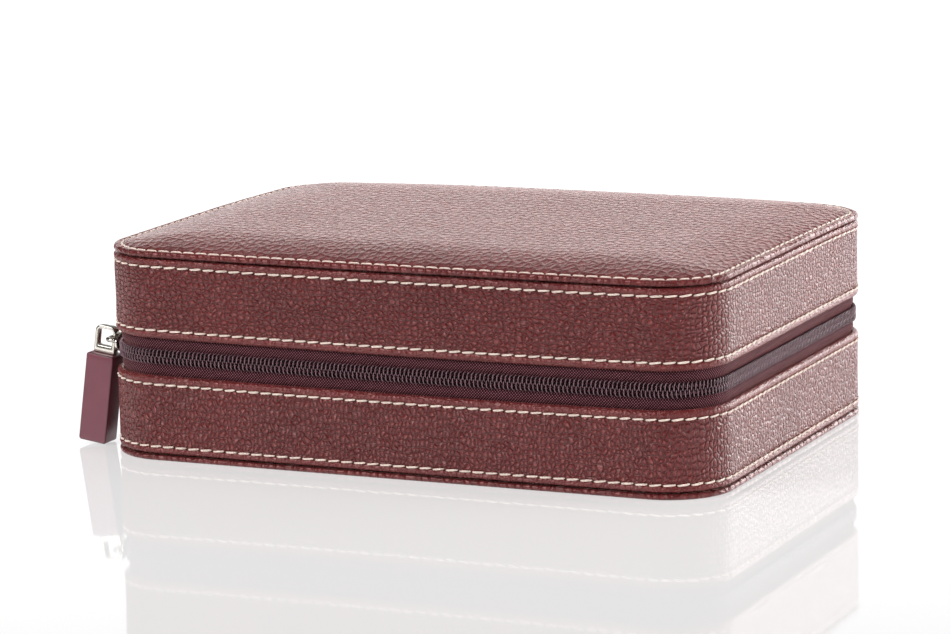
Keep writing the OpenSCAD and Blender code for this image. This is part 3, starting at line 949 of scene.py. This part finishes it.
def buildCoil(body, mirrored):
    wire, pitch = zipMake["wire"], zipMake["pitch"]
    stopLow, stopHigh = nodeBox("base_zip_stops")
    halfDeep = (stopHigh.y - stopLow.y) / 2
    middleInset, halfInset = coilLow.x - panelLow.x + halfDeep, halfDeep - wire
    root, head = coilLow.z + wire, zipMiddle + zipMake["reach"] - wire
    start, end = zipEnds(zipMake["coilReturn"])
    offset = 0.5 * pitch if mirrored else 0
    first, second, third = zipMake["hook"]
    path, hints = [], []
    # each turn comes down its front from its head to its root, and goes up behind to the next head
    for number in range(int((end - start) / pitch) - 1):
        for i in range(2 * zipMake["pointsPerHalf"]):
            share = i / zipMake["pointsPerHalf"]
            front = share < 1
            up = share if front else 2 - share          # 0 at the head and 1 at the root
            if front:
                run = first + second * up + third * up * up
            else:
                run = first + 1 + (second + third - 1) * up
            s = start + offset + pitch * (number + run)
            z = head + (root - head) * (0.5 - 0.5 * math.cos(math.pi * up))
            bow = math.sin(math.pi * up) ** zipMake["bow"]
            inset = middleInset - halfInset * (bow if front else -bow)
            path.append(settle(place(s, inset, heightOf(z, mirrored))))
            way = loopSpot(s)[1]
            hints.append(Vector((-way.y, way.x, 0)))
    points, faces, uvs = [], [], []
    tubeInto(points, faces, uvs, path, [wire] * len(path), hints, zipMake["sides"])
    filament = len(faces)
    cordIn, fromRoot, fromHead = zipMake["cordPlace"]
    stops = spread(start, end, pitch)
    for level in (root + fromRoot, head - fromHead):
        core = [settle(place(s, middleInset + cordIn, heightOf(level, mirrored))) for s in stops]
        hints = [Vector((0, 0, 1))] * len(core)
        tubeInto(points, faces, uvs, core, [zipMake["cord"]] * len(core), hints, zipMake["sides"])
    piece = makePiece(body + "ZipCoil", points, faces, uvs)
    piece.data.materials.append(nylon)
    piece.data.materials.append(cord)
    for polygon in list(piece.data.polygons)[filament:]:
        polygon.material_index = 1
    dress(piece, body, nylon, body + "_zip_coil")


for body, mirrored in halves:
    buildTape(body, mirrored)
    buildCoil(body, mirrored)
print("zip woven and coiled")


sliderMake = {
    "plate": (1.0, 0.32),       # thickness and edge radius
    "corners": (2.4, 1.4),      # of the outer and the inner plate
    "dome": 0.22,               # how far the outer plate bulges
    "innerSetBack": 5.2,
    "tail": 0.45,               # height of the plates' front end, as a share of their full height
    "web": (6.0, 0.4, 0.5),     # length and thickness of the neck, and how far back it starts
    "wire": 0.85,               # radius of the crown's wire
    "bend": 2.0,
    "setBack": 1.7,             # how far the crown's bar stays inside the ring's opening, towards the case
    "flare": (0.35, 0.8),       # how much the wire widens at the plate, and over what length
}
pullMake = {
    "lean": 8.0,
    "ring": (8.0, 3.0),         # width and depth
    "ringReach": (-5.3, 4.5),   # its foot and top, from the crown's bar
    "ringCorners": (2.3, 0.35),
    "ringEdge": 0.42,
    "leg": 1.2,
    "hole": (-2.6, 3.3),
    "holeCorners": (1.1, 0.5),
    "tang": (5.0, 4.6, 2.0),    # width, length and depth of the part that goes into the tab
    "tangEdge": (0.3, 0.2),     # corners and edges
    "tangOverlap": 0.4,
    "tab": (10.5, 31.0, 8.2),
    "tabEdge": (0.9, 0.5),
}
pullPivot = next(Vector(joint["pos_m"]) / mm for joint in frame["record"]["behaviour"]["joints"]
                 if joint["name"] == "pull_swing")
pullLean = Matrix.Rotation(math.radians(pullMake["lean"]), 3, "Y")


def tapered(share):
    # height of a slider plate at a share of its length, from its narrow end
    tail = sliderMake["tail"]
    return tail + (1 - tail) * math.sin(math.pi / 2 * min(1, max(0, share) * 1.5))


def buildSlider():
    low, high = nodeBox("slider_body")
    thick, edge = sliderMake["plate"]
    outerCorner, innerCorner = sliderMake["corners"]
    tall = high.z - low.z
    middle = (low.z + high.z) / 2
    innerFront = low.y + sliderMake["innerSetBack"]
    plates = (
        (low.x + thick / 2, low.y, outerCorner, sliderMake["dome"]),
        (high.x - thick / 2, innerFront, innerCorner, 0.0),
    )
    points, faces = [], []
    for x, front, corner, dome in plates:
        across = (front + high.y) / 2
        reach = high.y - front
        slabInto(points, faces, (reach, tall), corner, thick, edge,
                 lambda u, v, w: Vector((x + w, across + u, middle + v * tapered(u / reach + 0.5))), dome)
    webLong, webThick, webBack = sliderMake["web"]
    webX, webY = (low.x + high.x) / 2, innerFront + webBack + webLong / 2
    slabInto(points, faces, (webLong, high.x - low.x - thick), 0.1, webThick, 0.1,
             lambda u, v, w: Vector((webX + v, webY + u, middle + w)))
    piece = makePiece("sliderBody", points, faces, solid=True)
    dress(piece, "slider", nickel, "slider_body")


def buildCrown():
    low, high = nodeBox("slider_crown")
    r, bend = sliderMake["wire"], sliderMake["bend"]
    flare, flareReach = sliderMake["flare"]
    bar, front, back = low.x + r + sliderMake["setBack"], low.y + r, high.y - r
    z = (low.z + high.z) / 2
    roots = [high.x, high.x - 0.35, high.x - flareReach]
    turns = spread(0, math.pi / 2, math.pi / 14)
    elbow = [(bend - bend * math.sin(turn), bend - bend * math.cos(turn)) for turn in turns]
    path = [Vector((x, front, z)) for x in roots]
    path += [Vector((bar + u, front + v, z)) for u, v in elbow]
    path += [Vector((bar + v, back - u, z)) for u, v in elbow]
    path += [Vector((x, back, z)) for x in reversed(roots)]
    radii = [r + flare * max(0, 1 - (high.x - spot.x) / flareReach) for spot in path]
    points, faces, uvs = [], [], []
    tubeInto(points, faces, uvs, path, radii, [Vector((0, 0, 1))] * len(path), 14)
    piece = makePiece("sliderCrown", points, faces, solid=True)
    dress(piece, "slider", nickel, "slider_crown")


def pullSpot(u, v, w):
    # u across the pull, v up it and w along the crown's bar
    return pullPivot + pullLean @ Vector((u, w, v))


def buildRing():
    width, deep = pullMake["ring"]
    foot, top = pullMake["ringReach"]
    edge = pullMake["ringEdge"]
    outer = roundedOutline(width, foot, top, *pullMake["ringCorners"])
    inner = roundedOutline(width - 2 * pullMake["leg"], *pullMake["hole"], *pullMake["holeCorners"])
    points, faces = [], []
    for a, b in zip(inner, outer):
        span = (b - a).length
        way = (b - a) / span
        for quarter, (far, side) in enumerate(((1, 1), (0, 1), (0, -1), (1, -1))):
            for i in range(4):
                turn = math.pi / 2 * (quarter + i / 3)
                spot = a + way * ((span - edge if far else edge) + edge * math.cos(turn))
                points.append(pullSpot(spot.x, spot.y, side * (deep / 2 - edge) + edge * math.sin(turn)))
    faces += gridFaces(len(outer), 16, closedAcross=True, closedAlong=True)
    tangWide, tangLong, tangDeep = pullMake["tang"]
    corner, edge = pullMake["tangEdge"]
    overlap = pullMake["tangOverlap"]
    slabInto(points, faces, (tangWide, tangLong + overlap), corner, tangDeep, edge,
             lambda u, v, w: pullSpot(u, foot + (overlap - tangLong) / 2 + v, w))
    piece = makePiece("pullRing", points, faces, solid=True)
    dress(piece, "pull", nickel, "pull_ring")


def buildTab():
    wide, long, deep = pullMake["tab"]
    corner, edge = pullMake["tabEdge"]
    middle = pullMake["ringReach"][0] - long / 2
    points, faces = [], []
    edgeBand = slabInto(points, faces, (wide, long), corner, deep, edge,
                    lambda u, v, w: pullSpot(u, middle + v, w))
    piece = makePiece("pullTab", points, faces, marks={"edge": edgeBand}, solid=True)
    dress(piece, "pull", enamel, "pull_tab")


def buildStops(body):
    low, high = nodeBox(body + "_zip_stops")
    across, middle = (low.y + high.y) / 2, (low.z + high.z) / 2
    long, corner, edge = zipMake["stop"]
    points, faces = [], []
    for x in (low.x + long / 2, high.x - long / 2):
        slabInto(points, faces, (long, high.z - low.z), corner, high.y - low.y, edge,
                 lambda u, v, w: Vector((x + u, across + w, middle + v)))
    piece = makePiece(body + "ZipStops", points, faces, solid=True)
    dress(piece, body, nickel, body + "_zip_stops")


buildSlider()
buildCrown()
buildRing()
buildTab()
buildStops("base")
buildStops("lid")
print("slider and pull cast")


hingeMake = {
    "swell": {"hinge_spine": 0.7, "spine_lining": 0.2},    # how far each strip bulges out at its middle
    "swellReach": 4.5,
    "roundedBy": 0.3,
    "rowStep": 1.0,
    "step": 2.5,
    "waviness": 0.12,
    "wave": (14, 7),
    "grain": 0.8,
}


def buildSpine(node, name, material):
    # strip across the hinge, in its shape with the lid shut; on the real case it bends as the lid opens
    low, high = nodeBox(node)
    top = case["height"] - low.z
    middle = (low.y + high.y) / 2
    levels = spread(low.z, top, hingeMake["rowStep"])
    section = [(high.y, z) for z in levels] + [(middle, top + hingeMake["roundedBy"])]
    section += [(low.y, z) for z in reversed(levels)] + [(middle, low.z - hingeMake["roundedBy"])]
    stops = spread(low.x, high.x, hingeMake["step"])
    waveAlong, waveUp = hingeMake["wave"]
    points, uvs = [], []
    for x in stops:
        for y, z in section:
            swell = hingeMake["swell"][node] * math.exp(-((z - zipMiddle) / hingeMake["swellReach"]) ** 2)
            swell += hingeMake["waviness"] * noise.noise(Vector((x / waveAlong, z / waveUp, low.y)))
            points.append(Vector((x, y + swell, z)))
            uvs.append((x, z))
    faces = gridFaces(len(stops), len(section), closedAcross=True) + capFaces(len(stops), len(section))
    marks = {"grain": [hingeMake["grain"]] * len(points)}
    piece = makePiece(name, points, faces, uvs, marks, solid=True)
    piece.data.materials.append(material)
    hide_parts(node)
    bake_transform(piece)


buildSpine("hinge_spine", "hingeSpine", spineLeather)
buildSpine("spine_lining", "spineLining", suede)
print("hinge bound")


def loopSkin(profile, step, rings, levelAt, flip):
    # carries (inset, z) pairs round the case and fills the middle with rings that close in on it;
    # levelAt(spot, j) gives the height of a row's point number j
    stops = spread(0, loopLength, step)
    points = []
    for s in stops:
        row = [place(s, inset, z) for inset, z in profile]
        edge = row[-1]
        middle = middleSpot(edge)
        row += [edge.lerp(middle, (i + 1) / rings) for i in range(rings)]
        points += [Vector((spot.x, spot.y, levelAt(spot, j))) for j, spot in enumerate(row)]
    return points, gridFaces(len(stops), len(profile) + rings, flip=flip)


liningMake = {
    "outside": 4.5,        # insets of the side that is glued to the board and of the side that shows
    "inside": 5.3,
    "glued": 6.0,          # how far it goes down behind the board
    "lipRadius": (0.25, 0.4),    # where it turns over the board's edge, outside and inside
    "floorRadius": 1.6,
    "step": 2.0,
    "rowStep": 3.0,
    "rings": 14,
}


def buildLining(body, mirrored):
    low, high = nodeBox("base_lining")
    outside, inside = liningMake["outside"], liningMake["inside"]
    outerTurn, innerTurn = liningMake["lipRadius"]
    bend = liningMake["floorRadius"]
    lip = low.x - panelLow.x
    top, floor = high.z, low.z + inside - outside
    profile = [(outside, top - liningMake["glued"]), (outside, top - 0.5), (lip + 0.1, top - 0.5)]
    profile += arc(lip + outerTurn, top - outerTurn, outerTurn, 180, 90, 3)
    profile += arc(inside - innerTurn, top - innerTurn, innerTurn, 90, 0, 4)
    levels = spread(floor + bend + 0.4, top - 1.2, liningMake["rowStep"])
    profile += [(inside, z) for z in reversed(levels)]
    profile += arc(inside + bend, floor + bend, bend, 180, 270)
    points, faces = loopSkin(profile, liningMake["step"], liningMake["rings"],
                             lambda spot, j: heightOf(spot.z, mirrored), mirrored)
    piece = makePiece(body + "LiningSkin", points, faces)
    dress(piece, body, suede, body + "_lining")


padMake = {
    # puff between the channels and rounding of the edge, for each pad
    "base_floor_pad": (0.3, 1.2),
    "lid_pad": (1.5, 1.9),
    "channel": 5.0,        # mm, half the width of a sewn channel
    "sag": 0.35,           # how much the filling has settled unevenly, as a share of the puff
    "sagReach": 16,
    "edgeRows": 9,         # rows of points on the edge, which neither of them moves
    "topRows": (3.5, 5.5),
    "sole": 1.2,
    "step": 2.0,
    "rings": 34,
    "fill": 0.5,
}
cellPitch = nodeBox("cross_divider_3")[0].x - nodeBox("cross_divider_2")[0].x


def divided(spot, reach):
    # 0 on the sewn channels between the cells and 1 away from them
    lines = [abs(spot.x - column * cellPitch) for column in (-1, 0, 1)] + [abs(spot.y)]
    return 1 - math.exp(-(min(lines) / reach) ** 2)


def buildPad(node, name, body):
    # foam sheet in suede, drawn down along its channels
    low, high = nodeBox(node)
    puff, rounding = padMake[node]
    inset = low.x - panelLow.x
    thick = high.z - low.z
    turned = body == "lid"
    profile = [(inset + padMake["sole"], 0)] + arc(inset + rounding, rounding, rounding, 270, 180)
    profile += arc(inset + rounding, thick - rounding, rounding, 180, 90)
    profile += [(inset + away, thick) for away in padMake["topRows"]]

    def level(spot, j):
        z = spot.z
        if j >= padMake["edgeRows"]:
            uneven = noise.noise(Vector((*(spot.xy / padMake["sagReach"]), thick))) ** 2
            z -= puff * (1 - divided(spot, padMake["channel"]) + padMake["sag"] * uneven)
        return high.z - z if turned else low.z + z

    points, faces = loopSkin(profile, padMake["step"], padMake["rings"], level, turned)
    piece = makePiece(name, points, faces)
    dress(piece, body, suede, node)


dividerMake = {"corner": 1.6, "edge": 1.3, "fill": 0.9}


def buildDivider(node, name):
    low, high = nodeBox(node)
    centre = (low + high) / 2
    wide, deep, tall = high - low
    along = wide > deep
    points, faces = [], []
    corner, edge = dividerMake["corner"], dividerMake["edge"]
    slabInto(points, faces, (max(wide, deep), tall), corner, min(wide, deep), edge,
             lambda u, v, w: centre + (Vector((u, w, v)) if along else Vector((w, u, v))))
    piece = makePiece(name, points, faces, solid=True)
    dress(piece, "base", suede, node)


for body, mirrored in halves:
    buildLining(body, mirrored)
buildPad("base_floor_pad", "floorPad", "base")
buildPad("lid_pad", "lidPad", "lid")
buildDivider("long_divider", "longDivider")
for number in (1, 2, 3):
    buildDivider(f"cross_divider_{number}", f"crossDivider{number}")
print("inside lined")


cushionMake = {
    "seamInset": 1.0,      # from the end face to the seam
    "slack": 0.9,          # how much smaller the sewn shape is before it is stuffed
    "section": 13.0,       # its corners, seen from the end
    "cell": 3.0,
    "endRings": (0, 0.2, 0.4, 0.6, 0.8, 0.93),    # of an end panel, as shares of its size
    "swell": 2.2,          # the furthest that stuffing may move a point
    "piping": 0.85,
    "frames": 22,
    "scale": 10,           # cloth is more even at ten times the size
    "pressure": 4,
    "stretch": 0.03,
    "uneven": 0.35,        # how much one cushion differs from the next, and over what reach
    "unevenReach": 15,
    "clearance": 0.03,     # above the pad that it lies on
    "fill": 0.8,
}


def inflate(points, faces, held):
    # blows a sewn shape up with Cloth, and gives the moved points
    scale = cushionMake["scale"]
    mesh = bpy.data.meshes.new("sewn")
    mesh.from_pydata([tuple(point * mm * scale) for point in points], [], faces)
    shape = bpy.data.objects.new("sewn", mesh)
    scene = bpy.context.scene
    scene.collection.objects.link(shape)
    shape.vertex_groups.new(name="held").add(held, 1.0, "REPLACE")
    cloth = shape.modifiers.new("stuffing", "CLOTH")
    cloth.settings.vertex_group_mass = "held"
    cloth.settings.use_pressure = True
    cloth.settings.uniform_pressure_force = cushionMake["pressure"]
    cloth.settings.shrink_min = -cushionMake["stretch"]
    cloth.settings.effector_weights.gravity = 0
    cloth.point_cache.frame_end = cushionMake["frames"]
    for number in range(1, cushionMake["frames"] + 1):
        scene.frame_set(number)
    blown = shape.evaluated_get(bpy.context.evaluated_depsgraph_get()).data
    moved = [vertex.co / (mm * scale) for vertex in blown.vertices]
    scene.frame_set(1)
    bpy.data.objects.remove(shape)
    bpy.data.meshes.remove(mesh)
    result = []
    for before, after in zip(points, moved):
        step = after - before
        result.append(before + step * min(1, cushionMake["swell"] / max(step.length, 0.001)))
    return result


def sewCushion(wide, deep, tall):
    # tube of suede with two end panels, as (points, faces, one list of points for each seam)
    slack = cushionMake["slack"]
    half = wide / 2 - cushionMake["seamInset"]
    corner = cushionMake["section"] - slack
    low, high = slack - tall / 2, tall / 2 - slack
    section = roundedOutline(deep - 2 * slack, low, high, corner, perCorner=8, perSide=7)
    tube = [(x, 1) for x in spread(-half, half, cushionMake["cell"])]
    rings = [(-half, k) for k in cushionMake["endRings"]] + tube
    seamRings = len(rings) - len(tube), len(rings) - 1
    rings += [(half, k) for k in reversed(cushionMake["endRings"])]
    points = [Vector((x, k * spot.x, k * spot.y)) for x, k in rings for spot in section]
    rows = len(section)
    faces = gridFaces(len(rings), rows, closedAcross=True)
    return points, faces, [list(range(ring * rows, (ring + 1) * rows)) for ring in seamRings]


def buildCushions():
    low, high = nodeBox("watch_cushion_1")
    tall = high.z - low.z
    points, faces, seamPoints = sewCushion(*(high - low))
    points = inflate(points, faces, seamPoints[0] + seamPoints[1])
    skin = len(points)
    uvs = []
    for seam in seamPoints:
        ring = [points[i] for i in seam]
        radii, hints = [cushionMake["piping"]] * len(ring), [Vector((1, 0, 0))] * len(ring)
        tubeInto(points, faces, uvs, ring, radii, hints, 6, closed=True)
    for number in range(1, 9):
        low, high = nodeBox(f"watch_cushion_{number}")
        centre = (low + high) / 2
        flipX, flipY = (1 if number % 2 else -1), (1 if number > 4 else -1)
        placed = []
        for i, point in enumerate(points):
            spot = Vector((point.x * flipX, point.y * flipY, point.z))
            if i < skin:
                there = spot / cushionMake["unevenReach"] + Vector((number * 7.3, 0, 0))
                spot += cushionMake["uneven"] * noise.noise_vector(there)
            spot.z = max(spot.z, cushionMake["clearance"] - tall / 2)
            placed.append(centre + spot)
        piece = makePiece(f"watchCushion{number}", placed, faces, solid=True)
        piece.modifiers.new("smooth", "SUBSURF").levels = 1
        rounded = piece.evaluated_get(bpy.context.evaluated_depsgraph_get())
        rounded = bpy.data.meshes.new_from_object(rounded)
        piece.modifiers.clear()
        piece.data = rounded
        dress(piece, "base", suede, f"watch_cushion_{number}")


buildCushions()
print("cushions stuffed")


studio = {
    "lamps": {
        # place in metres, width and height, brightness of its face
        "key": ((-1.05, -1.25, 0.95), (0.9, 0.9), 10.0),
        "top": ((0.0, 0.2, 1.7), (1.4, 1.0), 1.7),
        "side": ((1.25, 0.1, 0.45), (1.6, 0.9), 3.6),
        "back": ((0.7, 1.5, 0.2), (1.5, 0.4), 4.0),
    },
    "aim": (0.0, 0.0, 0.04),
    "brightWay": (0.643, 0.766, 0.0),     # the tent is lit on this side of the case, and dark on the other
    "brightEdge": (-0.1, 0.2),
    "darkShare": (0.08, 0.20),            # for mirrored rays and for soft light
    "brightShare": (1.85, 0.62),
    "ceiling": 0.15,                      # how bright the lit side stays above this edge
    "ceilingEdge": (0.16, 0.32),
    "windows": (
        # way to a brighter patch in mirrored rays, its soft edge and its brightness
        ((0.42, 0.90, 0.12), (0.88, 0.97), 7.3),
        ((-0.43, -0.76, 0.50), (0.90, 0.98), 5.5),
    ),
    "glowNear": 0.66,                     # how far the floor shines by itself beside the case, so that
    "nearReach": (0.16, 0.42),            # its shadow shows; it is all white from the second reach on
    "shine": 1.6,                         # how bright the lit floor is in a mirrored ray
    "mirror": 0.24,
    "polish": 0.04,                       # roughness of that mirror
    "floorLevel": -0.02,
    "floorReach": 6000,
    "floorFront": -330,                   # where the lit part of the floor ends in front of the case
}


def addLamp(name, spot, size, brightness):
    data = bpy.data.lights.new(name, "AREA")
    data.shape = "RECTANGLE"
    data.size, data.size_y = size
    data.energy = brightness * math.pi * size[0] * size[1]
    lamp = bpy.data.objects.new(name, data)
    lamp.location = spot
    lamp.rotation_euler = (Vector(studio["aim"]) - Vector(spot)).to_track_quat("-Z", "Y").to_euler()
    lamp.visible_camera = False
    lamp.visible_glossy = False      # the floor's mirror would show its hard edges
    bpy.context.scene.collection.objects.link(lamp)


def addWorld():
    # white tent, closed and dark on one side; straight views of it are white
    world = bpy.data.worlds.new("white tent")
    world.use_nodes = True
    tree = world.node_tree
    tree.nodes.clear()
    way = addNode(tree, "TexCoord", output="Generated")
    side = addNode(tree, "VectorMath", [way, studio["brightWay"]], "Value", operation="DOT_PRODUCT")
    lit = addNode(tree, "MapRange", [side, *studio["brightEdge"]], **smooth)
    up = addNode(tree, "SeparateXYZ", [way], "Z")
    low = addNode(tree, "MapRange", [up, *studio["ceilingEdge"], 1.0, studio["ceiling"]], **smooth)
    lit = addNode(tree, "Math", [lit, low], operation="MULTIPLY")
    mirrored = addNode(tree, "LightPath", output="Is Glossy Ray")
    dark, bright = (addNode(tree, "MapRange", [mirrored, 0.0, 1.0, *reversed(studio[key])])
                    for key in ("darkShare", "brightShare"))
    tent = addNode(tree, "MapRange", [lit, 0.0, 1.0, dark, bright])
    for aim, edge, brightness in studio["windows"]:
        toward = addNode(tree, "VectorMath", [way, aim], "Value", operation="DOT_PRODUCT")
        window = addNode(tree, "MapRange", [toward, *edge, 0.0, brightness], **smooth)
        window = addNode(tree, "Math", [window, mirrored], operation="MULTIPLY")
        tent = addNode(tree, "Math", [tent, window], operation="MAXIMUM")
    seen = addNode(tree, "LightPath", output="Is Camera Ray")
    through = addNode(tree, "LightPath", output="Is Transmission Ray")
    straight = addNode(tree, "Math", [seen, through], operation="MAXIMUM")
    strength = addNode(tree, "Mix", {0: straight, 2: tent, 3: 1.0})
    sky = addNode(tree, "Background", [(1, 1, 1, 1), strength])
    addNode(tree, "OutputWorld", [sky])
    bpy.context.scene.world = world


def addFloor():
    # white acrylic sheet, cast and polished: a faint mirror over an even white
    material, tree = newMaterial("cast white acrylic")
    spot = addNode(tree, "NewGeometry", output="Position")
    away = addNode(tree, "VectorMath", [spot], "Value", operation="LENGTH")
    glow = addNode(tree, "MapRange", [away, *studio["nearReach"], studio["glowNear"], 1.0], **smooth)
    seen = [addNode(tree, "LightPath", output=ray) for ray in ("Is Camera Ray", "Is Glossy Ray")]
    straight = addNode(tree, "Math", seen, operation="MAXIMUM")
    share = addNode(tree, "Math", [straight, glow], operation="MULTIPLY")
    paint = addNode(tree, "BsdfDiffuse", [linearColour("#fbfbfb")])
    strength = addNode(tree, "MapRange", [seen[1], 0.0, 1.0, 1.0, studio["shine"]])
    white = addNode(tree, "Emission", [(1, 1, 1, 1), strength])
    ground = addNode(tree, "MixShader", [share, paint, white])
    mirror = addNode(tree, "BsdfGlossy", {"Color": (1, 1, 1, 1), "Roughness": studio["polish"]})
    polish = addNode(tree, "MixShader", [studio["mirror"], ground, mirror])
    addNode(tree, "OutputMaterial", [polish])
    reach, front = studio["floorReach"], studio["floorFront"]
    for name, low, high in (("floor", front, reach), ("floorFront", -reach, front)):
        corners = ((-reach, low), (reach, low), (reach, high), (-reach, high))
        floor = makePiece(name, [Vector((x, y, studio["floorLevel"])) for x, y in corners], [(0, 1, 2, 3)])
        floor.data.materials.append(material)
    # the part in front is seen, but it throws no light up at the case
    floor.visible_diffuse = floor.visible_glossy = floor.visible_shadow = False


for name, (spot, size, brightness) in studio["lamps"].items():
    addLamp(name, spot, size, brightness)
addWorld()
addFloor()
bpy.context.scene.view_settings.view_transform = "Standard"
print("studio lit")
